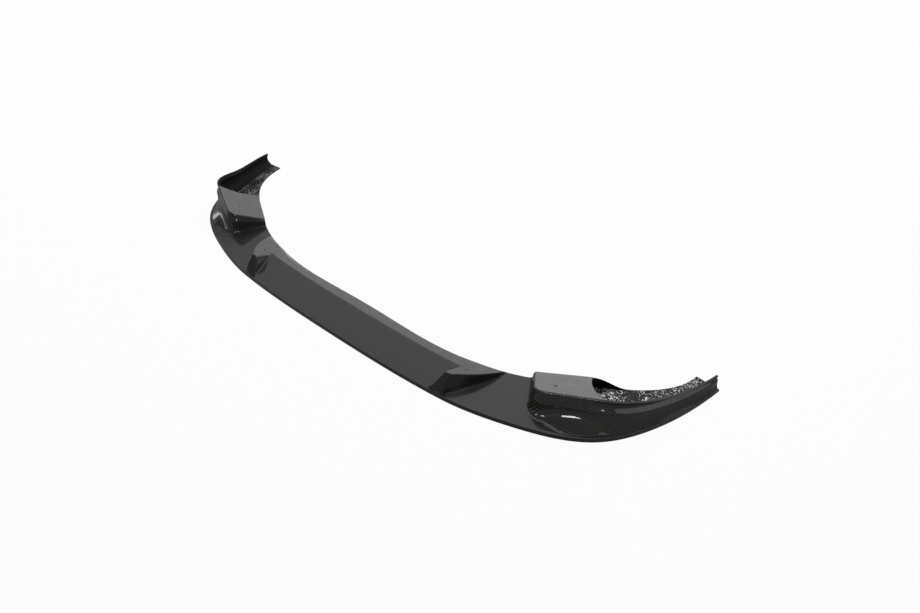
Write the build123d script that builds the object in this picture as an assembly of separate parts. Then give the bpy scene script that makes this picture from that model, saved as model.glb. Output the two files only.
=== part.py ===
from build123d import *
import math
import os

# Front splitter lip, moulded in one piece: a thin blade that bows round the nose of a car,
# with a seat band along its rear edge, two blunt fins, and a hollow raised pod over each
# corner whose wall sweeps back along the side to a tip. X runs across the car, Y rearwards
# and Z up. Places are given for the +X half, from the middle of the leading edge on the
# ground: an inset is measured in from the tip, and a sweep back from the nose. Millimetres.

# Leading edge in plan
half_width = 932.0
side_length = 505.0
shoulder_inset = 334.0
shoulder_sweep = 57.0
corner_inset = 142.0
corner_sweep = 156.0
flank_inset = 64.0
flank_sweep = 275.0
fin_inset = 532.0
fin_sweep = 13.0

# Blade: its rolled front edge, the flat under it and the thin rear edge
edge_height = 12.0
tip_edge_height = 8.0
edge_round = 3.0
flat_width = 50.0
blade_skin = 4.0
nose_chord = 140.0
nose_rise = 23.0
fin_chord = 142.0
pod_start = 0.26
pod_end = 0.52

# Seat band between the fins
ridge_chord = 97.0
ridge_height = 40.0
band_margin = 1.0

# Fins: blunt noses that stand on the blade and carry the band's slope forward
fin_height = 60.0
fin_top_inset = 9.0
fin_top_width = 19.0
fin_nose_run = 40.0
fin_toe = 2.0
fin_foot_inner = 44.0
fin_foot_front = 4.0
fin_foot_fore = 34.0
fin_foot_middle = 52.0
fin_foot_rear = 88.0
fin_rear_inner = 19.0
fin_middle_run = 78.0
fin_inner_lean = 29.0
fin_fore_lean = 27.0
fin_middle_lean = 14.0
fin_rear_lean = 5.0
fin_fall = 0.39
fin_tilt = 0.19
fin_margin = 7.0
fin_rear_sweep = 27.0

# Pods: the four corners of the raised seat panel over each blade corner
skin = 3.0
pod_rear_inset = 375.0
pod_rear_sweep = 214.0
pod_rear_height = 48.0
pod_rear_rise = 26.0
prow_inset = 316.0
prow_sweep = 124.0
prow_round = 30.0
pod_side_inset = 158.0
pod_side_sweep = 197.0
pod_side_height = 102.0
pod_back_inset = 249.0
pod_back_sweep = 286.0
pod_back_height = 55.0
pod_back_rise = 24.0
panel_cut = 15.0

# Side wall: its rim, and the section from rim to toe
wall_mid_inset = 68.0
wall_mid_sweep = 330.0
wall_mid_height = 70.0
rim_lean = 15.0
rim_height = 50.0
crest_fall = 1.5
shoulder_out = 9.0
shoulder_level = 0.62
waist_level = 0.40
groove_depth = 5.0
groove_start = 0.7
groove_end = 1.6
toe_flat = 9.0
tip_toe_flat = 4.0
prow_toe = 13.0
toe_growth = 50.0
toe_start = 0.3
toe_end = 0.75
skirt_curl = 0.42

# Channel behind each pod
channel_round = 24.0
tip_floor_width = 70.0
tip_floor_rise = 4.0
tip_skew = 10.0
channel_inset = 171.0
channel_sweep = 344.0
channel_rise = 19.0

# Fixing holes, square to the seats
hole_diameter = 5.0
hole_depth = 12.0
pod_hole_inset = 292.0
pod_hole_sweep = 179.0
fin_hole_run = 92.0
fin_hole_step = 17.0


def spot(inset, sweep, height=0.0):
    return Vector(half_width - inset, sweep, height)


def flat(place, height=0.0):
    return Vector(place.X, place.Y, height)


def seat_plane(a, b, c, drop=0.0):
    # Plane through three points, facing up, sunk by a drop
    normal = (b - a).cross(c - a).normalized()
    normal = normal if normal.Z > 0 else -normal
    return Plane(a - normal * drop, z_dir=normal)


def on_plane(place, plane):
    # The place moved straight up or down to the plane
    away = flat(place) - plane.origin
    return flat(place, -(plane.z_dir.X * away.X + plane.z_dir.Y * away.Y) / plane.z_dir.Z + plane.origin.Z)


def ramp(value, start, end):
    return min(max((value - start) / (end - start), 0.0), 1.0)


def swell(value, start, end):
    return math.sin(math.pi * ramp(value, start, end))


def steps(count):
    return [i / count for i in range(count + 1)]


def both(solid):
    return [solid, mirror(solid, about=Plane.YZ)]


# Named places
nose = Vector(0, 0)
fin_front = spot(fin_inset, fin_sweep)
fin_rear = fin_front + Vector(0, fin_chord, nose_rise)
tip = spot(0, side_length)
tip_inner = spot(tip_floor_width, side_length + tip_skew, tip_floor_rise)
pod_rear = spot(pod_rear_inset, pod_rear_sweep, pod_rear_height)
pod_side = spot(pod_side_inset, pod_side_sweep, pod_side_height)
pod_back = spot(pod_back_inset, pod_back_sweep, pod_back_height)
panel_seat = seat_plane(pod_rear, pod_side, pod_back)
prow = on_plane(spot(prow_inset, prow_sweep), panel_seat)
pod_rear_foot = flat(pod_rear, pod_rear_rise)
pod_back_foot = flat(pod_back, pod_back_rise)
channel = spot(channel_inset, channel_sweep, channel_rise)

# Curves of the blade: leading edge on the ground, rear edge at its top
fin_heading = (1.0, 0.09)
front_nose = Spline(nose, fin_front, tangents=[(1, 0), fin_heading])
front_side = Spline(
    fin_front,
    spot(shoulder_inset, shoulder_sweep),
    spot(corner_inset, corner_sweep),
    spot(flank_inset, flank_sweep),
    tip,
    tangents=[fin_heading, (0.15, 1)],
)
rear_heading = (1.0, 0.25, 0.0)
rear_nose = Spline(Vector(0, nose_chord, nose_rise), fin_rear, tangents=[(1, 0, 0), rear_heading])
rear_side = Spline(fin_rear, pod_rear_foot, tangents=[rear_heading, (0.87, 0.5, 0)])
rear_pod = Line(pod_rear_foot, pod_back_foot)
rear_channel = Spline(pod_back_foot, channel, tip_inner, tangents=[(0.8, 0.6, 0), (0.1, 1, 0)])

# Where the blade is cut across: a place on the leading edge, one on the rear edge, and how
# far along the side it lies, from the pod to the tip
nose_cuts = [(front_nose @ t, rear_nose @ t, 0.0) for t in steps(8)]
side_cuts = []
for rear, start, end, count in (
    (rear_side, 0.0, pod_start, 4),
    (rear_pod, pod_start, pod_end, 4),
    (rear_channel, pod_end, 1.0, 8),
):
    for t in steps(count)[1:]:
        side_cuts.append((front_side @ (start + (end - start) * t), rear @ t, t if end == 1.0 else 0.0))


def edge_at(tipward):
    return edge_height + (tip_edge_height - edge_height) * tipward


def blade_profile(chord, rise, edge):
    return [
        (0, 0),
        (flat_width, 0),
        (chord, rise - blade_skin),
        (chord, rise),
        (edge_round, edge),
        (0, edge - edge_round),
    ]


def band_profile(chord, rise, edge):
    # The blade rising to the ridge, and the seat band falling from it to the rear edge
    end = chord - band_margin
    return [
        (edge_round, edge / 2),
        (flat_width, edge / 2),
        (end, rise - blade_skin / 2),
        (end, rise - band_margin / 2),
        (ridge_chord, ridge_height),
        (edge_round, edge - band_margin),
    ]


def across(front, rear, points):
    # Closed section in the upright plane through a front and a rear place
    step = (flat(rear) - front).normalized()
    corners = [front + step * u + Vector(0, 0, z) for u, z in points]
    return Face(Wire(Polyline(*corners, close=True).edges()))


def span(profile, cuts):
    # One smooth body through its sections, from the far end to the near end
    near = []
    far = []
    for front, rear, tipward in cuts:
        chord = (flat(rear) - front).length
        points = profile(chord, rear.Z, edge_at(tipward))
        near.append(across(front, rear, points))
        far.append(across(Vector(-front.X, front.Y), Vector(-rear.X, rear.Y), points))
    return loft(far[:0:-1] + near)


blade = span(blade_profile, nose_cuts + side_cuts)
band = span(band_profile, nose_cuts)

# Fins
fin_inner = fin_front + Vector(-fin_top_inset, fin_nose_run, fin_height)
fin_outer = fin_inner + Vector(fin_top_width, fin_toe, fin_tilt * fin_top_width - fin_fall * fin_toe)
fin_seat = seat_plane(fin_inner, fin_outer, fin_inner + Vector(0, 1, -fin_fall))
fin_ramp = seat_plane(fin_inner, fin_outer, fin_front + Vector(0, 0, edge_height))
half_skin = Vector(0, 0, blade_skin / 2)
fin_sole = seat_plane(
    fin_front + Vector(0, 0, edge_height / 2), fin_rear - half_skin, rear_side @ 0.5 - half_skin
)


def fin_plan(level, lean):
    # Plan of the fin at one level, its walls leaning in by a share of their full lean
    start = flat(fin_front, level)
    end = fin_chord - fin_margin
    front_inner = start + Vector(fin_inner_lean * lean - fin_foot_inner, fin_toe)
    front_outer = start + Vector(fin_foot_front - fin_rear_lean * lean, 2 * fin_toe)
    fore = start + Vector(fin_foot_fore - fin_fore_lean * lean, fin_nose_run + fin_toe)
    middle = start + Vector(fin_foot_middle - fin_middle_lean * lean, fin_middle_run)
    rear_outer = start + Vector(fin_foot_rear - fin_rear_lean * lean, end + fin_rear_sweep)
    rear_inner = start + Vector(fin_inner_lean * lean - fin_rear_inner, end)
    edges = [
        Line(front_inner, front_outer),
        Spline(front_outer, fore, middle, rear_outer),
        Line(rear_outer, rear_inner),
        Line(rear_inner, front_inner),
    ]
    return Face(Wire(edges))


fin_top = fin_height + fin_tilt * fin_foot_middle
fin = loft([fin_plan(0, 0), fin_plan(fin_top, 1)])
fin = split(fin, fin_seat, keep=Keep.BOTTOM)
fin = split(fin, fin_ramp, keep=Keep.BOTTOM)
fin = split(fin, fin_sole, keep=Keep.TOP)

# Pod panel, level with the wall's crest, with a scooped edge towards the channel
scoop_out = (flat(pod_back) - flat(pod_side)).normalized()
scoop = (flat(pod_side) + flat(pod_back)) / 2 + Vector(-scoop_out.Y, scoop_out.X) * panel_cut
panel_edges = [
    *FilletPolyline(flat(pod_rear), flat(prow), flat(pod_side), radius=prow_round).edges(),
    ThreePointArc(flat(pod_side), scoop, flat(pod_back)),
    Line(flat(pod_back), flat(pod_rear)),
]
panel_plan = offset(Face(Wire(panel_edges)), -skin / 2)
panel = extrude(panel_plan, 2 * pod_side_height, dir=(0, 0, 1))
panel = split(panel, panel_seat, keep=Keep.BOTTOM)
panel = split(panel, panel_seat.offset(-skin), keep=Keep.TOP)

# Pod wall and side wall: one section carried from the pod's rear corner round to the tip
crest_start = pod_rear + (prow - pod_rear).normalized() * skin
crest = FilletPolyline(crest_start, prow, pod_side, radius=prow_round)
crest_leg, crest_turn, crest_side = crest.edges()
rim = Spline(
    pod_side,
    spot(wall_mid_inset, wall_mid_sweep, wall_mid_height),
    spot(rim_lean, side_length, rim_height),
    tangents=[pod_side - prow, (0.15, 1, -0.1)],
)
turn_travel = crest_leg.length / crest.length
side_travel = turn_travel + crest_turn.length / crest.length


def wall_section(curve, along, travel):
    # Travel is 0 to 1 along the pod's crest, then 1 to 2 along the rim
    place = curve @ along
    heading = curve % along
    outward = Vector(heading.Y, -heading.X).normalized()
    tipward = max(travel - 1.0, 0.0)
    rearward = max(1.0 - travel / turn_travel, 0.0)
    edge = edge_at(tipward)
    ground = edge + (pod_rear_rise - 1 - edge) * rearward
    sole = edge / 2 + (pod_rear_rise - blade_skin / 2 - edge / 2) * rearward
    toe_room = toe_flat + (tip_toe_flat - toe_flat) * tipward
    edge_room = Vertex(flat(place)).distance_to(front_side) - toe_room
    toe = min(edge_room, prow_toe + toe_growth * ramp(travel, toe_start, toe_end))
    bulge = shoulder_out * (1 - tipward / 2)
    hollow = bulge / 2 - groove_depth * swell(travel, groove_start, groove_end)
    floor = sole + 1
    floor_round = channel_round * min(max(3 * tipward, 0.2), 1.0)
    shoulder = ground + shoulder_level * (place.Z - ground)
    waist = ground + waist_level * (place.Z - ground)
    neck = (place.Z + shoulder) / 2
    inner = bulge - skin
    inner_toe = -skin - floor_round
    curl = 1 - math.sqrt(0.5)

    def at(out, level):
        return flat(place, level) + outward * out

    outer_round = at(bulge + skirt_curl * (toe - bulge), ground + skirt_curl * (waist - ground))
    inner_round = at(inner + curl * (inner_toe - inner), floor + curl * (waist - floor))
    edges = [
        Line(at(0, place.Z), at(hollow, neck)),
        Line(at(hollow, neck), at(bulge, shoulder)),
        Line(at(bulge, shoulder), at(bulge, waist)),
        ThreePointArc(at(bulge, waist), outer_round, at(toe, ground)),
        Line(at(toe, ground), at(toe, sole)),
        Line(at(toe, sole), at(inner_toe, sole)),
        Line(at(inner_toe, sole), at(inner_toe, floor)),
        ThreePointArc(at(inner_toe, floor), inner_round, at(inner, waist)),
        Line(at(inner, waist), at(inner, shoulder)),
        Line(at(inner, shoulder), at(hollow - skin, neck)),
        Line(at(hollow - skin, neck), at(-skin, place.Z - crest_fall)),
        Line(at(-skin, place.Z - crest_fall), at(0, place.Z)),
    ]
    return Face(Wire(edges))


def crest_section(curve, along, start, end):
    return wall_section(curve, along, start + (end - start) * along)


leg_wall = loft([crest_section(crest_leg, t, 0, turn_travel) for t in steps(1)], ruled=True)
side_sections = [crest_section(crest_turn, t, turn_travel, side_travel) for t in steps(4)]
side_sections += [crest_section(crest_side, t, side_travel, 1) for t in steps(6)[1:-1]]
side_sections += [crest_section(rim, t, 1, 2) for t in steps(15)]
side_wall = loft(side_sections)


# Rear wall of the pod, running out along the channel's inner edge as a falling web
def upright(start, end, start_top, end_top):
    heading = (flat(end) - flat(start)).normalized()
    inward = Vector(heading.Y, -heading.X)
    shift = inward * band_margin
    corners = [
        start - half_skin + shift,
        end - half_skin + shift,
        flat(end, end_top) + shift,
        flat(start, start_top) + shift,
    ]
    return extrude(Face(Wire(Polyline(*corners, close=True).edges())), skin, dir=inward)


pod_wall = upright(pod_rear_foot, pod_back_foot, pod_rear_height, pod_back_height)
web = upright(pod_back_foot, channel, pod_back_height, channel_rise)


# Fixing holes
def drill(place, plane):
    start = on_plane(place, plane)
    seat = Plane(start, z_dir=plane.z_dir)
    return seat * Cylinder(hole_diameter / 2, 2 * hole_depth)


pod_hole = drill(spot(pod_hole_inset, pod_hole_sweep), panel_seat)
fin_hole = drill(fin_front + Vector(fin_hole_step, fin_hole_run), fin_seat)

lip = blade + band
for piece in (fin, leg_wall, side_wall, panel, pod_wall, web):
    lip += both(piece)
for hole in (pod_hole, fin_hole):
    lip -= both(hole)

middle = lip.bounding_box().center()
lip = Pos(0, -middle.Y, 0) * lip
print("solids", len(lip.solids()), "volume", round(lip.volume), "size", lip.bounding_box().size)

os.makedirs("parts", exist_ok=True)
export_step(lip, "parts/splitter_lip.step")
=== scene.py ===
import math

import bmesh
import bpy
import numpy as np
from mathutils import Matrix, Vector


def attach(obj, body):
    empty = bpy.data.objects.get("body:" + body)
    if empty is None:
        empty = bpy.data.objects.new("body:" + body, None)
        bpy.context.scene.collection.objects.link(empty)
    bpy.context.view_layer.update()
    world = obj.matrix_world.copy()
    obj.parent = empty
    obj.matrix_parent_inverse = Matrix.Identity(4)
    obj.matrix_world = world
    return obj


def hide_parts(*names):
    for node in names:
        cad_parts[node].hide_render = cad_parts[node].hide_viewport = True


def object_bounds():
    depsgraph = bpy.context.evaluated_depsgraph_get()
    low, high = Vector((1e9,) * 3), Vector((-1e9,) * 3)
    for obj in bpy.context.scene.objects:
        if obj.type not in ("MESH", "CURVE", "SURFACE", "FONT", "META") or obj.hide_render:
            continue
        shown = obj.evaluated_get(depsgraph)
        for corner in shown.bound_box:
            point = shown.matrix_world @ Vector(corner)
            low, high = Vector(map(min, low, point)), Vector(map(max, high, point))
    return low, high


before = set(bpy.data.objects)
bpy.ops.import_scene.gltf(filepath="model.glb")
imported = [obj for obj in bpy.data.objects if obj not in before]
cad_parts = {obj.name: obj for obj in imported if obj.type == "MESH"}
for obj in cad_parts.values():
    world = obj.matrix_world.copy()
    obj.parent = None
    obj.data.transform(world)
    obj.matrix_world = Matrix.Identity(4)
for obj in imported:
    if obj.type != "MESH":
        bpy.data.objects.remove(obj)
cadLow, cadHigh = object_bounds()
noseY = cadLow.y  # middle of the leading edge, where the millimetre places below start
mm = 0.001
levelFacing = 0.6  # upward share of a normal past which a face counts as level
weldGap = 1e-6
creaseAngle = 40.0
roundShare = 0.3  # how far the middle of a rounded corner lies from its two edges, over its radius
print("frame loaded, noseY", round(noseY, 4))


# curves and small helpers
def unit(v):
    v = np.asarray(v, float)
    return v / np.linalg.norm(v, axis=-1, keepdims=True)


def smoothCurve(points, startHeading, endHeading, count=400):
    # clamped cubic through the points: Hermite pieces over chord lengths, whose slopes solve
    # the usual three-term rows so that curvature is continuous
    p = np.asarray(points, float)
    h = np.linalg.norm(np.diff(p, axis=0), axis=1)
    knot = np.concatenate([[0.0], np.cumsum(h)])
    size = len(p)
    rows = np.eye(size)
    right = np.zeros_like(p)
    right[0] = unit(startHeading)
    right[-1] = unit(endHeading)
    inner = np.arange(1, size - 1)
    rows[inner, inner - 1] = 1 / h[:-1]
    rows[inner, inner] = 2 / h[:-1] + 2 / h[1:]
    rows[inner, inner + 1] = 1 / h[1:]
    chords = np.diff(p, axis=0) / (h[:, None] ** 2)
    right[1:-1] = 3 * (chords[:-1] + chords[1:])
    slope = np.linalg.solve(rows, right)
    u = np.linspace(0, knot[-1], count)
    i = np.clip(np.searchsorted(knot, u, side="right") - 1, 0, size - 2)
    t = ((u - knot[i]) / h[i])[:, None]
    step = h[i][:, None]
    return ((1 + 2 * t) * (1 - t) ** 2 * p[i] + t * (1 - t) ** 2 * step * slope[i]
            + t * t * (3 - 2 * t) * p[i + 1] + t * t * (t - 1) * step * slope[i + 1])


def straight(a, b, count=400):
    return np.linspace(np.asarray(a, float), np.asarray(b, float), count)


def arcLengths(path):
    # distance travelled from the first row to each row
    step = np.linalg.norm(np.diff(path, axis=0), axis=-1)
    return np.concatenate([np.zeros_like(step[:1]), np.cumsum(step, axis=0)])


def along(path, share):
    # places on a path at shares of its length, from 0 to 1
    d = arcLengths(path)
    at = np.asarray(share) * d[-1]
    return np.stack([np.interp(at, d, path[:, k]) for k in range(3)], axis=-1)


def softMin(a, b, blend):
    # the lower of two heights, with the crease rounded where they differ by less than blend
    h = np.clip(0.5 + 0.5 * (b - a) / blend, 0, 1)
    return b * (1 - h) + a * h - blend * h * (1 - h)


def softMax(a, b, blend):
    return -softMin(-a, -b, blend)


def ramp(value, start, end):
    # 0 at start, 1 at end, straight between
    return np.clip((value - start) / (end - start), 0, 1)


def wave(value, start, end):
    # half a sine, which swells between start and end and is 0 outside them
    return np.sin(np.pi * ramp(value, start, end))


def toMetres(p):
    out = np.array(p, float) * mm
    out[..., 1] += noseY
    return out


def boxWeave(corners):
    # corners[face, corner]: each face takes its weave from the plane it faces most, which is the
    # plan, the side or the front
    n = np.abs(np.cross(corners[:, 2] - corners[:, 0], corners[:, 3] - corners[:, 1]))
    n = n / np.maximum(np.linalg.norm(n, axis=1, keepdims=True), 1e-9)
    level = n[:, 2] > levelFacing
    side = ~level & (n[:, 0] > n[:, 1])
    first = np.where(side[:, None], corners[..., 2], corners[..., 0])
    second = np.where((level | side)[:, None], corners[..., 1], corners[..., 2])
    return np.stack([first, second], axis=-1)


def gridMesh(name, grid, materials, uv=None, slots=None, left=None, ring=True, flip=False):
    # grid[row, column] is a surface of two parameters: rows run round the profile and columns
    # along the path; a ring closes on its first row and is capped at both ends; faces in left
    # are left out
    rows, cols = grid.shape[:2]
    index = np.arange(rows * cols).reshape(rows, cols)
    r = np.arange(rows if ring else rows - 1)
    up = (r + 1) % rows
    quads = np.stack([index[r][:, :-1], index[r][:, 1:], index[up][:, 1:], index[up][:, :-1]], axis=-1)
    quads = quads.reshape(-1, 4)
    flat = grid.reshape(-1, 3)
    if uv is None:
        quadUv = boxWeave(flat[quads])
    else:
        if ring:
            uv = np.concatenate([uv, 2 * uv[-1:] - uv[-2:-1]], axis=0)
        seen = np.arange(uv.shape[0] * cols).reshape(-1, cols)
        seen = np.stack([seen[r][:, :-1], seen[r][:, 1:], seen[r + 1][:, 1:], seen[r + 1][:, :-1]],
                        axis=-1)
        quadUv = uv.reshape(-1, 2)[seen.reshape(-1, 4)]
    faceSlots = np.zeros(len(quads), int) if slots is None else slots.reshape(-1)
    if left is not None:
        keep = ~left.reshape(-1)
        quads, quadUv, faceSlots = quads[keep], quadUv[keep], faceSlots[keep]
    loops, loopUv, totals = quads.ravel(), quadUv.reshape(-1, 2), np.full(len(quads), 4)
    if ring:
        ends = np.concatenate([index[:, 0], index[::-1, -1]])
        loops = np.concatenate([loops, ends])
        loopUv = np.concatenate([loopUv, flat[ends][:, ::2]])
        totals = np.concatenate([totals, [rows, rows]])
        faceSlots = np.concatenate([faceSlots, [0, 0]])
    used, loops = np.unique(loops, return_inverse=True)
    starts = np.concatenate([[0], np.cumsum(totals)[:-1]])
    mesh = bpy.data.meshes.new(name)
    mesh.vertices.add(len(used))
    mesh.vertices.foreach_set("co", toMetres(flat[used]).astype(np.float32).ravel())
    mesh.loops.add(len(loops))
    mesh.loops.foreach_set("vertex_index", loops.astype(np.int32).ravel())
    mesh.polygons.add(len(totals))
    mesh.polygons.foreach_set("loop_start", starts.astype(np.int32))
    mesh.polygons.foreach_set("loop_total", totals.astype(np.int32))
    layer = mesh.uv_layers.new(name="weave")
    mesh.update(calc_edges=True)
    layer.data.foreach_set("uv", (loopUv * mm).astype(np.float32).ravel())
    for material in materials:
        mesh.materials.append(material)
    mesh.polygons.foreach_set("material_index", faceSlots.astype(np.int32))
    mesh.validate()
    # places that fall together, as at a panel's pointed ends, become one vertex
    welded = bmesh.new()
    welded.from_mesh(mesh)
    bmesh.ops.remove_doubles(welded, verts=welded.verts, dist=weldGap)
    welded.to_mesh(mesh)
    welded.free()
    if flip:
        mesh.flip_normals()
    mesh.shade_smooth()
    mesh.set_sharp_from_angle(angle=math.radians(creaseAngle))
    piece = bpy.data.objects.new(name, mesh)
    bpy.context.scene.collection.objects.link(piece)
    return piece


def boreHole(grid, place, radius, heightAt, depth):
    # the grid places two steps round the nearest one are drawn onto the hole's circle, and those
    # inside it are sunk; returns a mask of the faces inside the circle
    gap = ((grid[..., :2] - place) ** 2).sum(-1)
    i, j = np.unravel_index(np.argmin(gap), gap.shape)
    for reach, share, sink in ((2, 1.0, 0.0), (1, 0.95, depth)):
        side = np.arange(-reach, reach)
        end = np.full(2 * reach, reach)
        row = i + np.concatenate([-end, side, end, -side])
        col = j + np.concatenate([side, end, -side, -end])
        corner = grid[[i - reach, i - reach], [j - reach, j + reach], :2] - place
        start = math.atan2(corner[0, 1], corner[0, 0])
        way = np.sign(corner[0, 0] * corner[1, 1] - corner[0, 1] * corner[1, 0])
        angle = start + way * np.linspace(0, 2 * np.pi, 8 * reach, endpoint=False)
        x = place[0] + radius * share * np.cos(angle)
        y = place[1] + radius * share * np.sin(angle)
        grid[row, col] = np.stack([x, y, heightAt(x, y) - sink], axis=-1)
    grid[i, j] = (*place, heightAt(*place) - depth)
    inside = np.zeros(gap.shape, bool)
    inside[i - 2:i + 2, j - 2:j + 2] = True
    return inside


def joinMoulding(piece):
    # every piece is part of the one moulding
    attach(piece, "root")
    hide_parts("splitter_lip")


# camera at the photograph's angle, for a 920 by 613 frame
shot = {"place": (1.3297, -1.2355, 1.4018), "azimuth": 40.84, "elevation": 38.98, "lens": 29.62,
        "sensor": 36.0}


def makeCamera():
    a = math.radians(shot["azimuth"])
    e = math.radians(shot["elevation"])
    back = Vector((math.sin(a) * math.cos(e), -math.cos(a) * math.cos(e), math.sin(e)))
    data = bpy.data.cameras.new("photoCamera")
    data.sensor_width = shot["sensor"]
    data.lens = shot["lens"]
    camera = bpy.data.objects.new("photoCamera", data)
    camera.location = shot["place"]
    camera.rotation_mode = "QUATERNION"
    camera.rotation_quaternion = (-back).to_track_quat("-Z", "Y")
    bpy.context.scene.collection.objects.link(camera)
    bpy.context.scene.camera = camera


makeCamera()
print("camera set")


# materials
def newMaterial(name):
    material = bpy.data.materials.new(name)
    material.use_nodes = True
    tree = material.node_tree
    shader = tree.nodes["Principled BSDF"]
    return material, tree, shader


def mathNode(tree, operation, a, b=None):
    node = tree.nodes.new("ShaderNodeMath")
    node.operation = operation
    for socket, value in zip(node.inputs, (a, b)):
        if value is None:
            continue
        if isinstance(value, (int, float)):
            socket.default_value = value
        else:
            tree.links.new(value, socket)
    return node.outputs[0]


def mixColour(tree, factor, low, high):
    node = tree.nodes.new("ShaderNodeMix")
    node.data_type = "RGBA"
    for socket, value in ((node.inputs[0], factor), (node.inputs[6], low), (node.inputs[7], high)):
        if isinstance(value, tuple):
            socket.default_value = (*value, 1)
        else:
            tree.links.new(value, socket)
    return node.outputs[2]


def noise(tree, scale, detail=2.0):
    where = tree.nodes.new("ShaderNodeTexCoord")
    node = tree.nodes.new("ShaderNodeTexNoise")
    node.inputs["Scale"].default_value = scale
    node.inputs["Detail"].default_value = detail
    tree.links.new(where.outputs["Object"], node.inputs["Vector"])
    return node.outputs[0]


def addBump(tree, shader, height, look):
    bump = tree.nodes.new("ShaderNodeBump")
    bump.inputs["Strength"].default_value = look["bump"]
    bump.inputs["Distance"].default_value = look["depth"]
    tree.links.new(height, bump.inputs["Height"])
    tree.links.new(bump.outputs[0], shader.inputs["Normal"])


def twillWeave(tree, tow):
    # two-by-two twill laid at 45 degrees: the warp tow lies on top where (column + row) modulo 4 is
    # under 2, and each tow is a rounded ridge across its width
    where = tree.nodes.new("ShaderNodeUVMap")
    where.uv_map = "weave"
    mapping = tree.nodes.new("ShaderNodeMapping")
    mapping.inputs["Rotation"].default_value = (0, 0, math.radians(45))
    mapping.inputs["Scale"].default_value = (1 / tow, 1 / tow, 1)
    tree.links.new(where.outputs[0], mapping.inputs[0])
    split = tree.nodes.new("ShaderNodeSeparateXYZ")
    tree.links.new(mapping.outputs[0], split.inputs[0])
    x, y = split.outputs[0], split.outputs[1]
    cell = mathNode(tree, "ADD", mathNode(tree, "FLOOR", x), mathNode(tree, "FLOOR", y))
    warp = mathNode(tree, "LESS_THAN", mathNode(tree, "FLOORED_MODULO", cell, 4.0), 1.5)
    ridges = []
    for way in (x, y):
        offset = mathNode(tree, "SUBTRACT", mathNode(tree, "FRACT", way), 0.5)
        square = mathNode(tree, "MULTIPLY", offset, offset)
        ridges.append(mathNode(tree, "SUBTRACT", 1.0, mathNode(tree, "MULTIPLY", square, 4.0)))
    onTop = mathNode(tree, "MULTIPLY", ridges[0], warp)
    below = mathNode(tree, "MULTIPLY", ridges[1], mathNode(tree, "SUBTRACT", 1.0, warp))
    return warp, mathNode(tree, "ADD", onTop, below)


def carbon(name, look):
    # twill under a finish: warp and weft differ in tone, and a slow mottle varies both
    material, tree, shader = newMaterial(name)
    warp, height = twillWeave(tree, look["tow"])
    weave = mixColour(tree, warp, look["weft"], look["warp"])
    mottle = mathNode(tree, "MULTIPLY", noise(tree, look["mottleScale"]), 2 * look["mottle"])
    level = mathNode(tree, "ADD", mottle, 1 - look["mottle"])
    groove = mathNode(tree, "ADD", mathNode(tree, "MULTIPLY", height, 1 - look["gap"]), look["gap"])
    scaled = tree.nodes.new("ShaderNodeVectorMath")
    scaled.operation = "SCALE"
    tree.links.new(weave, scaled.inputs[0])
    tree.links.new(mathNode(tree, "MULTIPLY", level, groove), scaled.inputs["Scale"])
    tree.links.new(scaled.outputs[0], shader.inputs["Base Color"])
    addBump(tree, shader, height, look)
    shader.inputs["Roughness"].default_value = look["roughness"]
    shader.inputs["Specular IOR Level"].default_value = look["specular"]
    shader.inputs["Coat Weight"].default_value = look["coat"]
    shader.inputs["Coat Roughness"].default_value = look["coatRoughness"]
    shader.inputs["Coat IOR"].default_value = look["coatIor"]
    return material


patchDetail = 3.0


def rawFibre(name, look):
    # uncoated back of the laminate: black resin with bright broken flecks where the cloth shows
    material, tree, shader = newMaterial(name)
    where = tree.nodes.new("ShaderNodeTexCoord")
    fold = tree.nodes.new("ShaderNodeTexVoronoi")
    fold.inputs["Scale"].default_value = look["foldScale"]
    tree.links.new(where.outputs["Object"], fold.inputs["Vector"])
    grain = mathNode(tree, "MULTIPLY", noise(tree, look["grainScale"]), look["grain"])
    patch = mathNode(tree, "MULTIPLY", noise(tree, look["patchScale"], patchDetail), look["patch"])
    height = mathNode(tree, "ADD", mathNode(tree, "ADD", patch, grain),
                      mathNode(tree, "MULTIPLY", fold.outputs["Distance"], -look["fold"]))
    start, end = look["span"]
    shine = mathNode(tree, "MULTIPLY", mathNode(tree, "SUBTRACT", height, start), 1 / (end - start))
    shine.node.use_clamp = True
    tree.links.new(mixColour(tree, shine, look["resin"], look["fleck"]), shader.inputs["Base Color"])
    tree.links.new(mathNode(tree, "MULTIPLY", shine, look["metal"]), shader.inputs["Metallic"])
    shader.inputs["Roughness"].default_value = look["roughness"]
    shader.inputs["Specular IOR Level"].default_value = look["specular"]
    addBump(tree, shader, height, look)
    return material


bladeLook = {"tow": 0.002, "warp": (0.019, 0.0181, 0.0166), "weft": (0.009, 0.0086, 0.0079), "gap": 0.75,
             "mottleScale": 40.0, "mottle": 0.1, "bump": 0.2, "depth": 0.0003, "roughness": 0.42,
             "specular": 0.12, "coat": 1.0, "coatRoughness": 0.03, "coatIor": 1.29}
wallLook = {"tow": 0.002, "warp": (0.022, 0.0205, 0.0183), "weft": (0.005, 0.0047, 0.0043), "gap": 0.55,
            "mottleScale": 40.0, "mottle": 0.1, "bump": 0.3, "depth": 0.0004, "roughness": 0.3,
            "specular": 0.02, "coat": 0.4, "coatRoughness": 0.02, "coatIor": 1.6}
bandLook = {"tow": 0.002, "warp": (0.098, 0.097, 0.097), "weft": (0.066, 0.065, 0.065), "gap": 0.7,
            "mottleScale": 55.0, "mottle": 0.25, "bump": 0.25, "depth": 0.0003, "roughness": 0.5,
            "specular": 0.3, "coat": 0.0, "coatRoughness": 0.2, "coatIor": 1.4}
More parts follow.
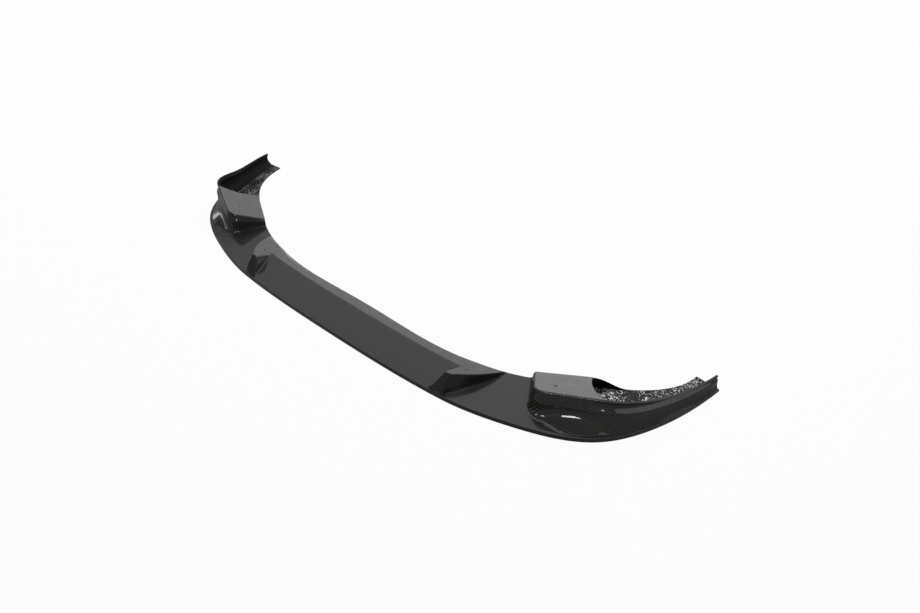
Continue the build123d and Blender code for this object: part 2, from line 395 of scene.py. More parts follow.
seatLook = {"tow": 0.002, "warp": (0.080, 0.078, 0.078), "weft": (0.060, 0.058, 0.058), "gap": 0.8,
            "mottleScale": 30.0, "mottle": 0.2, "bump": 0.15, "depth": 0.0003, "roughness": 0.3,
            "specular": 0.65, "coat": 0.0, "coatRoughness": 0.2, "coatIor": 1.4}
rawLook = {"foldScale": 210.0, "patchScale": 24.0, "grainScale": 480.0, "fold": 0.5, "patch": 0.55,
           "grain": 0.5, "span": (0.30, 0.53), "resin": (0.008, 0.008, 0.008), "fleck": (0.55, 0.55, 0.55),
           "metal": 0.95, "bump": 0.12, "depth": 0.0006, "roughness": 0.16, "specular": 0.1}
# inside faces: the raw fibre darkened, painted shade for the hollow under the seat, the wall's inner face
# and the bored hole
shadedRawLook = {"foldScale": 160.0, "patchScale": 18.0, "grainScale": 380.0, "fold": 0.5, "patch": 0.8,
             "grain": 0.5, "span": (0.62, 0.8), "resin": (0.006, 0.006, 0.006), "fleck": (0.12, 0.12, 0.12),
             "metal": 0.5, "bump": 0.5, "depth": 0.001, "roughness": 0.6, "specular": 0.05}
bladeGloss = carbon("bladeGloss", bladeLook)
wallGloss = carbon("wallGloss", wallLook)
satinBand = carbon("satinBand", bandLook)
satinSeat = carbon("satinSeat", seatLook)
rawCloth = rawFibre("rawCloth", rawLook)
darkInside = rawFibre("darkInside", shadedRawLook)
# a face's slot: the gloss outside, the inside as raw fibre darkened with painted shade, and on the blade
# the satin band and raw cloth
outer, inside, satin, raw = 0, 1, 2, 3
bladeFinishes = [bladeGloss, darkInside, satinBand, rawCloth]
wallFinishes = [wallGloss, darkInside]
seatFinishes = [satinSeat, darkInside, wallGloss]
print("materials made", len(bpy.data.materials))


# places and curves of the +X half in plan, in millimetres from the middle of the leading edge
halfWidth = 932.0
plan = {"sideLength": 505.0, "finX": 400.0, "finY": 13.0, "finHeading": (1.0, 0.09, 0),
        "shoulder": (598.0, 57.0, 0), "corner": (790.0, 156.0, 0), "flank": (868.0, 275.0, 0),
        "noseChord": 140.0, "rise": 23.0, "finChord": 142.0, "rearHeading": (1.0, 0.25, 0),
        "podRear": (557.0, 214.0, 48.0), "podRearRise": 26.0, "prow": (616.0, 124.0),
        "podSide": (774.0, 197.0, 102.0), "podBack": (683.0, 286.0, 55.0), "podBackRise": 24.0,
        "channel": (761.0, 344.0, 19.0), "tipInner": (862.0, 515.0, 4.0), "podStart": 0.26, "podEnd": 0.52,
        "tipHeading": (0.15, 1, 0), "podHeading": (0.87, 0.5, 0), "channelHeading": (0.8, 0.6, 0),
        "innerHeading": (0.1, 1, 0), "sideSteps": 1200}
finFront = np.array([plan["finX"], plan["finY"], 0.0])
finRear = finFront + (0, plan["finChord"], plan["rise"])
tip = np.array([halfWidth, plan["sideLength"], 0.0])
podRear = np.array(plan["podRear"])
podSide = np.array(plan["podSide"])
podBack = np.array(plan["podBack"])
podRearFoot = np.array([*podRear[:2], plan["podRearRise"]])
podBackFoot = np.array([*podBack[:2], plan["podBackRise"]])
channelEdge = np.array(plan["channel"])
panelNormal = unit(np.cross(podSide - podRear, podBack - podRear))
panelNormal = panelNormal * np.sign(panelNormal[2])


def panelHeight(x, y):
    # height of the pod's seat plane over a plan place
    n = panelNormal
    return podRear[2] - (n[0] * (x - podRear[0]) + n[1] * (y - podRear[1])) / n[2]


prow = np.array([*plan["prow"], panelHeight(*plan["prow"])])
frontNose = smoothCurve([(0, 0, 0), finFront], (1, 0, 0), plan["finHeading"])
frontSide = smoothCurve([finFront, plan["shoulder"], plan["corner"], plan["flank"], tip],
                        plan["finHeading"], plan["tipHeading"], plan["sideSteps"])
rearNose = smoothCurve([(0, plan["noseChord"], plan["rise"]), finRear], (1, 0, 0), plan["rearHeading"])
rearSide = smoothCurve([finRear, podRearFoot], plan["rearHeading"], plan["podHeading"])
rearPod = straight(podRearFoot, podBackFoot)
rearChannel = smoothCurve([podBackFoot, channelEdge, plan["tipInner"]], plan["channelHeading"],
                          plan["innerHeading"])


# blade, seat band and fins: one skin from tip to tip
blade = {"edge": 12.0, "tipEdge": 8.0, "roll": 3.0, "flat": 50.0, "skin": 4.0, "toe": 1.0,
         "ridge": 97.0, "ridgeHeight": 40.0, "bandMargin": 1.0, "bandEnd": 398.0, "bandUnderFin": 32.0,
         "ridgeBlend": 2.5, "ridgeGap": 0.01, "bandOff": 30.0, "bandTurn": 20.0,
         "rollAt": (0.0, 1.0, 1.5, 2.0), "rearRoll": (5.0, 11.0, 11.0, 0.5),
         "rearReach": (5.0, 8.0, 3.0, 0.0), "rollDrop": 0.97, "satinStop": 0.15, "lipRound": 1.2,
         "lipMiddle": 0.35,
         "noseColumns": 58, "finColumns": 132, "sideColumns": 150, "rollRows": 6, "frontRows": 64,
         "rearRows": 32, "slopeRows": 8, "flatRows": 4, "finFrom": 0.86, "finTo": 1.5}
fin = {"height": 60.0, "topInset": 9.0, "noseRun": 40.0, "fall": 0.39, "tilt": 0.19,
       "footInner": 44.0, "rearInner": 19.0, "innerLean": 29.0, "top": 69.9, "hole": (417.0, 105.0),
       "holeRadius": 2.5, "holeDepth": 6.0, "footRun": (4.0, 42.0, 78.0, 162.0),
       "foot": (4.0, 34.0, 52.0, 88.0), "lean": (5.0, 27.0, 14.0, 5.0),
       "bowStart": (0.62, 0.5, 0.4), "bowEnd": (0.9, 0.3, -0.1), "edgeBlend": 5.0, "cornerBlend": 14.0,
       "footBlend": 4.0, "bandBlend": 1.5, "blendFrom": -12.0, "blendTo": 4.0, "reach": 140.0,
       "satinDip": 1.0, "satinEdge": 1.6}


def stationEnds(s):
    # front and rear place of each station: 0 to 1 over the nose, then 1 to 2 up to the pod, 2 to 3
    # along the pod's rear, 3 to 4 along the channel to the tip
    nose = np.clip(s, 0, 1)
    a, b = plan["podStart"], plan["podEnd"]
    share = np.interp(s, [1, 2, 3, 4], [0, a, b, 1.0])
    front = np.where((s < 1)[:, None], along(frontNose, nose), along(frontSide, share))
    rear = np.where((s < 1)[:, None], along(rearNose, nose), along(rearSide, np.clip(s - 1, 0, 1)))
    rear = np.where((s > 2)[:, None], along(rearPod, np.clip(s - 2, 0, 1)), rear)
    rear = np.where((s > 3)[:, None], along(rearChannel, np.clip(s - 3, 0, 1)), rear)
    return front, rear


def plainTop(u, chord, rise, edge):
    # the blade's top without band or fin: straight from the rolled edge to the rear edge
    return edge + (rise - edge) * (u - blade["roll"]) / (chord - blade["roll"])


def finSeatHeight(x, y):
    dx = x - plan["finX"]
    dy = y - plan["finY"]
    return fin["height"] + fin["tilt"] * (dx + fin["topInset"]) - fin["fall"] * (dy - fin["noseRun"])


def finTop(x, y):
    # lowest of the seat plane, the ramp plane, the bowed outboard wall and the inboard wall
    dx = x - plan["finX"]
    dy = y - plan["finY"]
    top = finSeatHeight(x, y)
    rampSlope = (fin["height"] - blade["edge"]) / fin["noseRun"]
    frontRamp = blade["edge"] + rampSlope * dy + fin["tilt"] * (dx + fin["topInset"])
    bowKeys = np.stack([fin["footRun"], fin["foot"], fin["lean"]], axis=-1)
    bowed = smoothCurve(bowKeys, fin["bowStart"], fin["bowEnd"])
    foot = np.interp(dy, bowed[:, 0], bowed[:, 1])
    lean = np.interp(dy, bowed[:, 0], bowed[:, 2])
    outboard = fin["top"] * (foot - dx) / lean
    innerFoot = -fin["footInner"] + (fin["footInner"] - fin["rearInner"]) * dy / plan["finChord"]
    inboard = fin["top"] * (dx - innerFoot) / fin["innerLean"]
    sides = softMin(softMin(frontRamp, outboard, fin["cornerBlend"]), inboard, fin["edgeBlend"])
    return softMin(top, sides, fin["edgeBlend"]), top


def makeBlade():
    s = np.concatenate([
        np.linspace(0, blade["finFrom"], blade["noseColumns"], endpoint=False),
        np.linspace(blade["finFrom"], blade["finTo"], blade["finColumns"], endpoint=False),
        np.linspace(blade["finTo"], 4, blade["sideColumns"]),
    ])
    front, rear = stationEnds(s)
    across = rear - front
    across[:, 2] = 0
    chord = np.linalg.norm(across, axis=1)
    across = across / chord[:, None]
    # the rolled edge hangs over a little
    chord = chord + np.interp(s, blade["rollAt"], blade["rearReach"])
    rise = rear[:, 2]
    tipward = np.clip(s - 3, 0, 1)
    edge = blade["edge"] + (blade["tipEdge"] - blade["edge"]) * tipward
    roll, toe = blade["roll"], blade["toe"]
    ridge = np.where(s < 1, blade["ridge"], blade["ridge"] * chord / plan["finChord"])
    one = np.ones_like(s)
    # rows of (distance from the leading edge, height): rolled nose, top, rear edge, underside
    turn = np.linspace(0, np.pi / 2, blade["rollRows"])[:, None]
    noseU = roll - roll * np.cos(turn) * one
    noseZ = (edge - roll) + roll * np.sin(turn)
    share = np.linspace(0, 1, blade["frontRows"] + 1)[1:, None]
    frontU = roll + (ridge - roll) * share
    share = np.linspace(0, 1, blade["rearRows"] + 1)[1:, None]
    share = (share + np.sin(np.pi / 2 * share)) / 2
    rearU = ridge + (chord - toe - ridge) * share
    topU = np.concatenate([frontU, rearU])
    places = front[None] + across[None] * topU[..., None]
    x, y = places[..., 0], places[..., 1]
    base = plainTop(topU, chord, rise, edge)
    bandFront = edge + (blade["ridgeHeight"] - edge) * (topU - roll) / (blade["ridge"] - roll)
    bandRear = blade["ridgeHeight"] + (rise - blade["ridgeHeight"]) * (topU - blade["ridge"]) / (
        chord - blade["bandMargin"] - blade["ridge"])
    bandTurn = ramp(topU, ridge - blade["bandTurn"], ridge + blade["bandTurn"])
    bandEnd = blade["bandEnd"] + blade["bandUnderFin"] * bandTurn
    band = np.where(x < bandEnd, softMin(bandFront, bandRear, blade["ridgeBlend"]), base - blade["bandOff"])
    banded = np.maximum(base, band)
    finHeight, finSeat = finTop(x, y)
    blend = fin["footBlend"] + (fin["bandBlend"] - fin["footBlend"]) * ramp(
        topU, ridge + fin["blendFrom"], ridge + fin["blendTo"])
    nearFin = np.abs(x - plan["finX"]) < fin["reach"]
    topZ = np.where(nearFin, softMax(banded, finHeight, blend), banded)
    onBand = (band > base) & (topU > ridge + blade["ridgeGap"])
    onFin = (finHeight > banded - fin["satinDip"]) & (finHeight > finSeat - fin["satinEdge"])
    satinTop = onBand | onFin
    # quarter ellipse down to the rear edge, from the roll's start
    under = rise - blade["skin"]
    rearRoll = np.interp(s, blade["rollAt"], blade["rearRoll"])
    fall = ramp(topU, chord - toe - rearRoll, chord - toe)
    lowest = under + 2 * toe
    topZ = lowest + (topZ - lowest) * np.sqrt(1 - blade["rollDrop"] * fall * fall)
    satinTop = satinTop & (fall < blade["satinStop"])
    endZ = topZ[-1]
    nick = roundShare * toe
    rearEdgeU = np.stack([chord - nick, chord, chord, chord - nick, chord - toe])
    rearEdgeZ = np.stack([endZ - nick, endZ - toe, under + toe, under + nick, under])
    share = np.linspace(0, 1, blade["slopeRows"] + 1)[1:, None]
    slopeU = chord - toe + (blade["flat"] - chord + toe) * share
    slopeZ = under * (1 - share)
    share = np.linspace(0, 1, blade["flatRows"] + 1)[1:, None]
    flatU = blade["flat"] + (blade["lipRound"] - blade["flat"]) * share * one
    flatZ = np.zeros_like(flatU)
    lipU = np.stack([blade["lipMiddle"] * one, 0 * one])
    lipZ = np.stack([blade["lipMiddle"] * one, blade["lipRound"] * one])
    u = np.concatenate([noseU, topU, rearEdgeU, slopeU, flatU, lipU])
    z = np.concatenate([noseZ, topZ, rearEdgeZ, slopeZ, flatZ, lipZ])
    half = front[None] + across[None] * u[..., None]
    half[..., 2] = z
    first = len(noseU)
    top = slice(first, first + len(topU))
    holed = np.zeros(u.shape, bool)
    holed[top] = boreHole(half[top], np.array(fin["hole"]), fin["holeRadius"], finSeatHeight,
                          fin["holeDepth"])
    satinRows = np.zeros(u.shape, bool)
    satinRows[top] = satinTop
    # the mirrored half comes first, without the middle column
    grid = np.concatenate([half[:, :0:-1] * (-1, 1, 1), half], axis=1)
    satinRows = np.concatenate([satinRows[:, :0:-1], satinRows], axis=1)
    below = np.roll(satinRows, -1, axis=0)
    corners = np.stack([satinRows[:, :-1], satinRows[:, 1:], below[:, :-1], below[:, 1:]])
    slots = np.where(corners.sum(0) >= 3, satin, outer)
    nextRow = np.roll(grid, -1, axis=0)
    centre = (grid[:, :-1] + grid[:, 1:] + nextRow[:, :-1] + nextRow[:, 1:]) / 4
    topFace = np.zeros(slots.shape, bool)
    topFace[top] = True
    slots = np.where(topFace & behindWall(centre), raw, slots)
    # the bored hole's faces take the raw fibre with painted shade
    slots = np.where(np.concatenate([holed[:, -2::-1], holed[:, :-1]], axis=1), inside, slots)
    return gridMesh("bladeSkin", grid, bladeFinishes, slots=slots)


# pod wall and side wall: one section carried along the crest from the pod's rear corner to the tip
wall = {"skin": 3.0, "prowRound": 30.0, "mid": (864.0, 330.0, 70.0), "rimLean": 15.0, "rimHeight": 50.0,
        "shoulderOut": 10.0, "rearShoulder": 0.4, "shoulderLevel": 0.62, "waistLevel": 0.52, "groove": 8.5,
        "grooveSpan": (0.75, 2.1), "toeFlat": 9.0, "tipToeFlat": 4.0, "prowToe": 13.0, "toeGrowth": 50.0,
        "toeSpan": (0.3, 0.75), "skirtLift": 0.5, "liftSpan": (0.5, 0.75), "filletPull": 1.1,
        "channelRound": 24.0, "podRound": 0.2, "roundGrowth": 3.0, "podFade": 12.0,
        "rimWay": (0.15, 1, -0.1), "wale": (0.907, 0.42), "nearPod": 5.0, "behind": 0.5,
        "aheadRoom": 2.0, "rearRoom": 8.0, "farOff": 1000.0, "legColumns": 40, "turnColumns": 28,
        "sideColumns": 56, "rimColumns": 170, "upperRows": 57, "filletRows": 30, "channelRows": 18,
        "riseRows": 14, "pathStep": 3, "stations": 600}
crestEnd = wall["legColumns"] + wall["turnColumns"] + wall["sideColumns"]


def crestPath():
    toRear = unit(podRear - prow)
    toSide = unit(podSide - prow)
    halfAngle = math.acos(toRear @ toSide) / 2
    run = wall["prowRound"] / math.tan(halfAngle)
    centre = prow + unit(toRear + toSide) * wall["prowRound"] / math.sin(halfAngle)
    turnStart = prow + toRear * run
    turnEnd = prow + toSide * run
    e1 = unit(turnStart - centre)
    e2 = unit((turnEnd - centre) - ((turnEnd - centre) @ e1) * e1)
    angle = np.linspace(0, math.pi - 2 * halfAngle, wall["turnColumns"] + 1)[:, None]
    turn = centre + wall["prowRound"] * (np.cos(angle) * e1 + np.sin(angle) * e2)
    leg = straight(podRear, turnStart, wall["legColumns"] + 1)
    side = straight(turnEnd, podSide, wall["sideColumns"] + 1)
    rimEnd = (halfWidth - wall["rimLean"], plan["sideLength"], wall["rimHeight"])
    rim = smoothCurve([podSide, wall["mid"], rimEnd], podSide - prow, wall["rimWay"],
                      wall["rimColumns"] + 1)
    path = np.concatenate([leg[:-1], turn[:-1], side[:-1], rim])
    d = arcLengths(path)
    # travel runs from 0 to 1 along the pod's crest and from 1 to 2 along the rim to the tip
    travel = np.where(d < d[crestEnd], d / d[crestEnd], 1 + (d - d[crestEnd]) / (d[-1] - d[crestEnd]))
    turnTravel = d[wall["legColumns"]] / d[crestEnd]
    return path, travel, turnTravel


crest, crestTravel, turnTravel = crestPath()
crestHeading = unit(np.gradient(crest, axis=0) * (1, 1, 0))
crestOut = np.stack([crestHeading[:, 1], -crestHeading[:, 0], np.zeros(len(crest))], axis=-1)


def behindWall(points):
    # true where a plan place lies on the inner side of the crest, within the wall's own stretch
    flatten = points.reshape(-1, 3) * (1, 1, 0)
    flatten[:, 0] = np.abs(flatten[:, 0])
    result = np.zeros(len(flatten), bool)
    chosen = np.where(flatten[:, 0] > podRear[0] - wall["nearPod"])[0]
    path = crest[::wall["pathStep"]]
    out = crestOut[::wall["pathStep"]]
    gap = flatten[chosen, None, :2] - path[None, :, :2]
    nearest = np.argmin((gap ** 2).sum(-1), axis=1)
    picked = gap[np.arange(len(chosen)), nearest]
    result[chosen] = (picked * out[nearest, :2]).sum(-1) < -wall["behind"]
    return result.reshape(points.shape[:-1])


def bladeTopAt(places):
    # height of the plain blade under plan places, from the nearest station line
    s = np.linspace(1, 4, wall["stations"])
    front, rear = stationEnds(s)
    across = (rear - front) * (1, 1, 0)
    chord = np.linalg.norm(across, axis=1)
    across = across / chord[:, None]
    edge = blade["edge"] + (blade["tipEdge"] - blade["edge"]) * np.clip(s - 3, 0, 1)
    gap = places[:, None, :2] - front[None, :, :2]
    u = (gap * across[None, :, :2]).sum(-1)
    off = np.abs(gap[..., 0] * across[None, :, 1] - gap[..., 1] * across[None, :, 0])
    # a station that a place lies well in front of or behind is set out of the running
    outside = (u < -wall["aheadRoom"]) | (u > chord[None] + wall["rearRoom"])
    off = off + wall["farOff"] * outside
    best = np.argmin(off, axis=1)
    pick = np.arange(len(places))
    return plainTop(u[pick, best], chord[best], rear[best, 2], edge[best])


def makeWall(name, sign):
    place, travel, out = crest, crestTravel, crestOut
    tipward = np.clip(travel - 1, 0, 1)
    height = place[:, 2]
    fromEdge = np.linalg.norm(place[:, None, :2] - frontSide[None, ::2, :2], axis=-1).min(axis=1)
    toeRoom = wall["toeFlat"] + (wall["tipToeFlat"] - wall["toeFlat"]) * tipward
    toeGrown = wall["prowToe"] + wall["toeGrowth"] * ramp(travel, *wall["toeSpan"])
    toe = np.minimum(fromEdge - toeRoom, toeGrown)
    rearward = ramp(travel, turnTravel, 0)
    bulge = wall["shoulderOut"] * (1 - tipward / 2) * (1 - wall["rearShoulder"] * rearward)
    hollow = bulge / 2 - wall["groove"] * wave(travel, *wall["grooveSpan"])
    ground = bladeTopAt(place + out * toe[:, None])
    footing = bladeTopAt(place + out * bulge[:, None])
    shoulder = ground + wall["shoulderLevel"] * (height - ground)
    waist = ground + wall["waistLevel"] * (height - ground)
    neck = (height + shoulder) / 2
    skin = wall["skin"]
    # over the pod the crest's top falls inwards with the seat plane
    inPod = np.clip((1.0 - travel) * wall["podFade"], 0, 1)
    inwards = place - out
    slopeIn = panelHeight(place[:, 0], place[:, 1]) - panelHeight(inwards[:, 0], inwards[:, 1])
    crestDrop = slopeIn * inPod
    innerRound = wall["channelRound"] * np.clip(wall["roundGrowth"] * tipward, wall["podRound"], 1)
    inner = bulge - skin
    innerToe = -skin - innerRound
    floor = bladeTopAt(place + out * innerToe[:, None])
    floorAtWall = bladeTopAt(place + out * inner[:, None])
    one = np.ones_like(height)

    def keyed(keys, count):
        # smooth line through key places: each span is a cubic whose end slopes are half the step
        # between the neighbours on either side
        k = np.stack([np.stack([a * one, b * one], axis=-1) for a, b in keys])
        t = np.linspace(0, len(keys) - 1, count)
        i = np.clip(t.astype(int), 0, len(keys) - 2)
        f = (t - i)[:, None, None]
        before = k[np.clip(i - 1, 0, len(keys) - 1)]
        after = k[np.clip(i + 2, 0, len(keys) - 1)]
        a, b = k[i], k[i + 1]
        line = 0.5 * (2 * a + (b - before) * f + (2 * before - 5 * a + 4 * b - after) * f * f
                      + (3 * a - before - 3 * b + after) * f ** 3)
        return line[..., 0], line[..., 1]

    # outer face from the crest to the waist, as (distance out from the crest, height)
    upperOut, upperZ = keyed([
        (-skin + 0.3, height - crestDrop * skin - 0.4), (-1.0, height - crestDrop - 0.1),
        (1.4, height - 0.9), (2.9, height - 3.6), (hollow + 0.4, neck), (bulge - 1.0, shoulder + 2.6),
        (bulge, shoulder - 1.0), (bulge + 0.2, (shoulder + waist) / 2), (bulge, waist),
    ], wall["upperRows"])
    # fillet and skirt: a conic from the waist to the toe, drawn towards the corner under the waist,
    # which rises off the blade where the toe has reached the leading edge
    corner = footing + wall["skirtLift"] * ramp(travel, *wall["liftSpan"]) * (waist - footing)
    t = np.linspace(0, 1, wall["filletRows"] + 1)[1:, None]
    weights = np.stack([(1 - t) ** 2, 2 * wall["filletPull"] * t * (1 - t), t ** 2])
    weights = weights / weights.sum(0)
    filletOut = weights[0] * bulge + weights[1] * bulge + weights[2] * toe
    filletZ = weights[0] * waist + weights[1] * corner + weights[2] * ground
    # the skirt's edges are tucked into the blade, first at the toe and then in the channel
    skirtOut = np.stack([toe + 2.5, toe + 1.0, innerToe - 1.0, innerToe - 2.5])
    skirtZ = np.stack([ground - 0.8, ground - 3.0, floor - 2.6, floor - 0.7])
    turn = np.linspace(np.pi / 2, 0, wall["channelRows"] + 1)[:-1, None]
    backOut = inner + (innerToe - inner) * (1 - np.cos(turn))
    floorSlope = (floorAtWall - floor) / (inner - innerToe)
    backZ = floor + floorSlope * (backOut - innerToe) + (waist - floorAtWall) * (1 - np.sin(turn))
    riseOut, riseZ = keyed([
        (inner, waist), (inner, shoulder), (hollow - skin, neck), (-skin, height - crestDrop * skin - 2.0),
    ], wall["riseRows"])
    outAll = np.concatenate([upperOut, filletOut, skirtOut, backOut, riseOut])
    zAll = np.concatenate([upperZ, filletZ, skirtZ, backZ, riseZ])
    grid = place[None] + out[None] * outAll[..., None]
    grid[..., 2] = zAll
    toeRow = len(upperOut) + len(filletOut) - 1
    slots = np.full((len(zAll), len(place) - 1), outer)
    # the wall's inner faces take the raw fibre with painted shade, as they face away from the light
    slots[toeRow + 3:] = inside
    # the weave is laid along the crest and up from the toe, turned by the wale
    down = arcLengths(grid)
    far = arcLengths(place)
    up = down[toeRow] - down
    wx, wy = wall["wale"]
    uv = np.stack([far * wx - up * wy, far * wy + up * wx], axis=-1)
    grid = grid * (sign, 1, 1)
    return gridMesh(name, grid, wallFinishes, uv, slots, flip=sign > 0)


# pod seat panel: lines ruled from the crest to the panel's rear and scooped edges
panel = {"inset": 0.9, "lift": 0.15, "skin": 3.0, "cut": 15.0, "hole": (640.0, 179.0), "holeRadius": 2.5,
         "columns": 210, "rows": 56, "edgeSteps": 60}


def makePanel(name, sign):
    edge = (crest - crestOut * panel["inset"])[:crestEnd + 1]
    outerEdge = along(edge, np.linspace(0, 1, panel["columns"]))
    scoopWay = unit((podBack - podSide) * (1, 1, 0))
    chordMiddle = (podSide + podBack) / 2
    scoop = chordMiddle + np.array([-scoopWay[1], scoopWay[0], 0]) * panel["cut"]
    t = np.linspace(0, 1, panel["edgeSteps"])[:, None]
    control = 2 * scoop - chordMiddle
    scooped = (1 - t) ** 2 * podBack + 2 * t * (1 - t) * control + t * t * podSide
    toBack = straight(edge[0], podBack, panel["edgeSteps"])
    backEdge = np.concatenate([toBack[:-1], scooped[:-1], edge[-1:]])
    backLine = along(backEdge, np.linspace(0, 1, panel["columns"]))
    share = np.linspace(0, 1, panel["rows"])[:, None, None]
    grid = outerEdge[None] * (1 - share) + backLine[None] * share
    grid[..., 2] = panelHeight(grid[..., 0], grid[..., 1]) + panel["lift"]
    holed = boreHole(grid, np.array(panel["hole"]), panel["holeRadius"],
                     lambda x, y: panelHeight(x, y) + panel["lift"], 0.0)
    grid = grid * (sign, 1, 1)
    piece = gridMesh(name, grid, seatFinishes, left=holed[:-1, :-1], ring=False, flip=sign < 0)
    thick = piece.modifiers.new("laminate", "SOLIDIFY")
    thick.thickness = panel["skin"] * mm
    thick.offset = -1
    # the seat's underside takes the raw fibre with painted shade
    thick.material_offset = 1
    thick.material_offset_rim = 2
    return piece


# pod's rear wall, which runs out along the channel's inner edge as a falling web
rearWall = {"skin": 3.0, "inset": 0.8, "columns": 120, "round": 1.2, "drop": 0.2, "sunk": 3.0,
            "endGap": 0.1}


def makeRearWall(name, sign):
    foot = np.concatenate([rearPod, rearChannel[1:]])
    foot = foot[foot[:, 0] <= channelEdge[0] + rearWall["endGap"]]
    foot = along(foot, np.linspace(0, 1, rearWall["columns"]))
    heading = unit(np.gradient(foot, axis=0) * (1, 1, 0))
    inward = np.stack([heading[:, 1], -heading[:, 0], np.zeros(len(foot))], axis=-1)
    podLength = np.linalg.norm((podBack - podRear)[:2])
    far = arcLengths(foot[:, :2])
    fall = np.clip((far - podLength) / (far[-1] - podLength), 0, 1)
    ease = fall * fall * (3 - 2 * fall)
    seatTop = panelHeight(foot[:, 0], foot[:, 1]) - rearWall["drop"]
    webTop = podBack[2] + (channelEdge[2] - podBack[2]) * ease
    top = np.where(fall > 0, webTop, seatTop)
    bottom = foot[:, 2] - rearWall["sunk"]
    a, b, r = rearWall["inset"], rearWall["inset"] + rearWall["skin"], rearWall["round"]
    nick = roundShare * r
    ins = np.array([a, a, a + nick, a + r, b - r, b - nick, b, b])[:, None]
    z = np.stack([bottom, top - r, top - nick, top, top, top - nick, top - r, bottom])
    grid = foot[None] + inward[None] * ins[..., None]
    grid[..., 2] = np.maximum(z, bottom[None])
    uv = np.stack([np.broadcast_to(far, z.shape), z + ins], axis=-1)
    # the rear wall's inner faces take the raw fibre with painted shade
    slots = np.full((len(ins), len(foot) - 1), inside)
    slots[:3] = outer
    grid = grid * (sign, 1, 1)
    return gridMesh(name, grid, wallFinishes, uv, slots, flip=sign > 0)


pieces = [makeBlade()]
print("blade skin made", len(pieces[0].data.polygons))
for side, sign in (("Right", 1), ("Left", -1)):
    pieces.append(makeWall("sideWall" + side, sign))
    pieces.append(makePanel("podSeat" + side, sign))
    pieces.append(makeRearWall("podRearWall" + side, sign))
for piece in pieces:
    joinMoulding(piece)
print("pieces made", len(pieces), "faces", sum(len(p.data.polygons) for p in pieces))


# floor, light and background; each lamp is (place, size, radiance, aim, spread in degrees, start of
# the names of the pieces it shines on, or nothing for all)
studio = {"floorSize": 100.0, "floorColour": 0.35, "whiteShown": 0.97, "whiteMirrored": 0.12,
          "world": 0.25, "worldGlow": 3.2, "glowWay": (-0.64, 0.77, 0.0), "glowFall": 3.5}
lamps = {"skyPanel": ((-3.5, 2.25, 3.1), (5.1, 10.5), 1.74, (-4.734, 2.25, 0), 156, ""),
         "frontStrip": ((1.25, -2.1, 0.85), (0.7, 0.5), 26.0, (0.70, -0.13, 0.04), 180, "sideWall"),
         "sideStrip": ((-0.05, -2.3, 0.9), (0.24, 0.34), 32.0, (0.6, -0.15, 0.04), 180, "sideWall"),
         "leftStrip": ((-2.9, -0.35, 0.3), (1.5, 0.35), 3.5, (-0.78, -0.1, 0.05), 180, "sideWall"),
         "rightStrip": ((2.9, 0.45, 1.3), (5.0, 1.2), 1.5, (0.8, 0.1, 0.05), 180, "sideWallRight")}


def shownShare(tree):
    # how much of the plain white a ray sees: nearly all for the camera, a little in reflections
    path = tree.nodes.new("ShaderNodeLightPath")
    mirrored = mathNode(tree, "MAXIMUM", path.outputs["Is Glossy Ray"], path.outputs["Is Transmission Ray"])
    mirrored = mathNode(tree, "MULTIPLY", mirrored, studio["whiteMirrored"])
    shown = mathNode(tree, "MULTIPLY", path.outputs["Is Camera Ray"], studio["whiteShown"])
    return mathNode(tree, "MAXIMUM", shown, mirrored)


def makeFloor():
    size = studio["floorSize"]
    mesh = bpy.data.meshes.new("studioFloor")
    corners = [(-size, -size, 0), (size, -size, 0), (size, size, 0), (-size, size, 0)]
    mesh.from_pydata(corners, [], [(0, 1, 2, 3)])
    floor = bpy.data.objects.new("studioFloor", mesh)
    bpy.context.scene.collection.objects.link(floor)
    material = bpy.data.materials.new("paleFloor")
    material.use_nodes = True
    tree = material.node_tree
    tree.nodes.clear()
    diffuse = tree.nodes.new("ShaderNodeBsdfDiffuse")
    diffuse.inputs[0].default_value = (*[studio["floorColour"]] * 3, 1)
    white = tree.nodes.new("ShaderNodeEmission")
    white.inputs["Strength"].default_value = 1.0
    mix = tree.nodes.new("ShaderNodeMixShader")
    out = tree.nodes.new("ShaderNodeOutputMaterial")
    tree.links.new(shownShare(tree), mix.inputs[0])
    tree.links.new(diffuse.outputs[0], mix.inputs[1])
    tree.links.new(white.outputs[0], mix.inputs[2])
    tree.links.new(mix.outputs[0], out.inputs[0])
    mesh.materials.append(material)


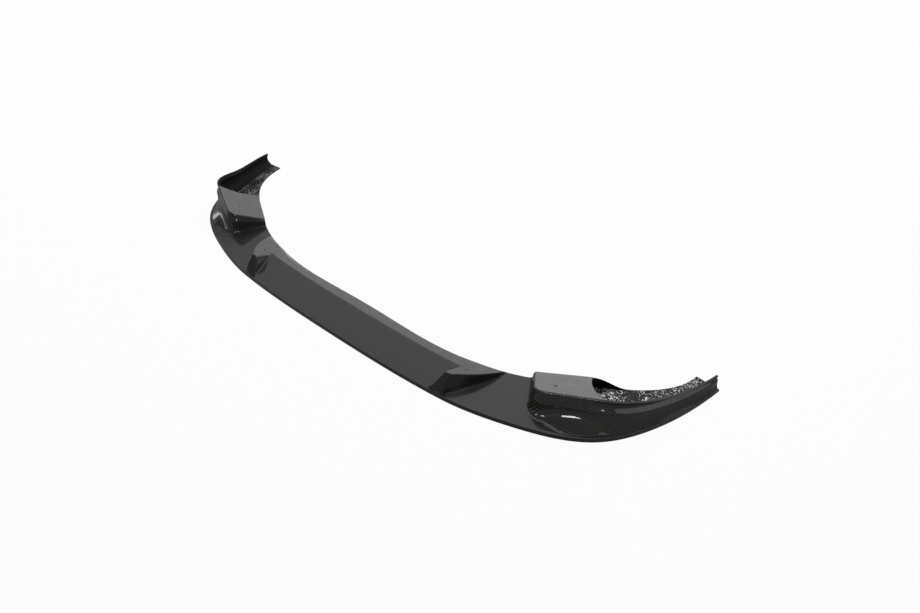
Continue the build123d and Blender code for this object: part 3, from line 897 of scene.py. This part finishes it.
def makeWorld():
    # dim overhead, brighter towards the horizon behind the far end, and white to the camera
    world = bpy.data.worlds.new("studioWorld")
    world.use_nodes = True
    tree = world.node_tree
    where = tree.nodes.new("ShaderNodeTexCoord")
    split = tree.nodes.new("ShaderNodeSeparateXYZ")
    tree.links.new(where.outputs["Generated"], split.inputs[0])
    dot = tree.nodes.new("ShaderNodeVectorMath")
    dot.operation = "DOT_PRODUCT"
    tree.links.new(where.outputs["Generated"], dot.inputs[0])
    dot.inputs[1].default_value = studio["glowWay"]
    low = mathNode(tree, "SUBTRACT", 1.0, mathNode(tree, "MULTIPLY", split.outputs[2], studio["glowFall"]))
    low.node.use_clamp = True
    facing = mathNode(tree, "ADD", mathNode(tree, "MULTIPLY", dot.outputs["Value"], 0.5), 0.5)
    glow = mathNode(tree, "MULTIPLY", mathNode(tree, "MULTIPLY", low, low), facing)
    strength = mathNode(tree, "ADD", mathNode(tree, "MULTIPLY", glow, studio["worldGlow"]), studio["world"])
    shown = shownShare(tree)
    dimmed = mathNode(tree, "MULTIPLY", strength, mathNode(tree, "SUBTRACT", 1.0, shown))
    strength = mathNode(tree, "ADD", dimmed, shown)
    background = tree.nodes["Background"]
    background.inputs[0].default_value = (1, 1, 1, 1)
    tree.links.new(strength, background.inputs[1])
    bpy.context.scene.world = world


def softbox(name, place, size, radiance, aim, spread, lit):
    # the strips are round and shine on the side walls alone, so the flat blade stays even
    data = bpy.data.lights.new(name, "AREA")
    data.shape = "ELLIPSE" if lit else "RECTANGLE"
    data.size, data.size_y = size
    data.energy = radiance * math.pi * size[0] * size[1]
    data.spread = math.radians(spread)
    lamp = bpy.data.objects.new(name, data)
    lamp.location = place
    lamp.rotation_mode = "QUATERNION"
    lamp.rotation_quaternion = (Vector(aim) - Vector(place)).to_track_quat("-Z", "Y")
    if lit:
        group = bpy.data.collections.new(name + "Walls")
        for piece in pieces:
            if piece.name.startswith(lit):
                group.objects.link(piece)
        lamp.light_linking.receiver_collection = group
    bpy.context.scene.collection.objects.link(lamp)


makeFloor()
makeWorld()
for name, lamp in lamps.items():
    softbox(name, *lamp)
bpy.context.scene.view_settings.view_transform = "Standard"
print("studio lit", len(lamps), "lamps")
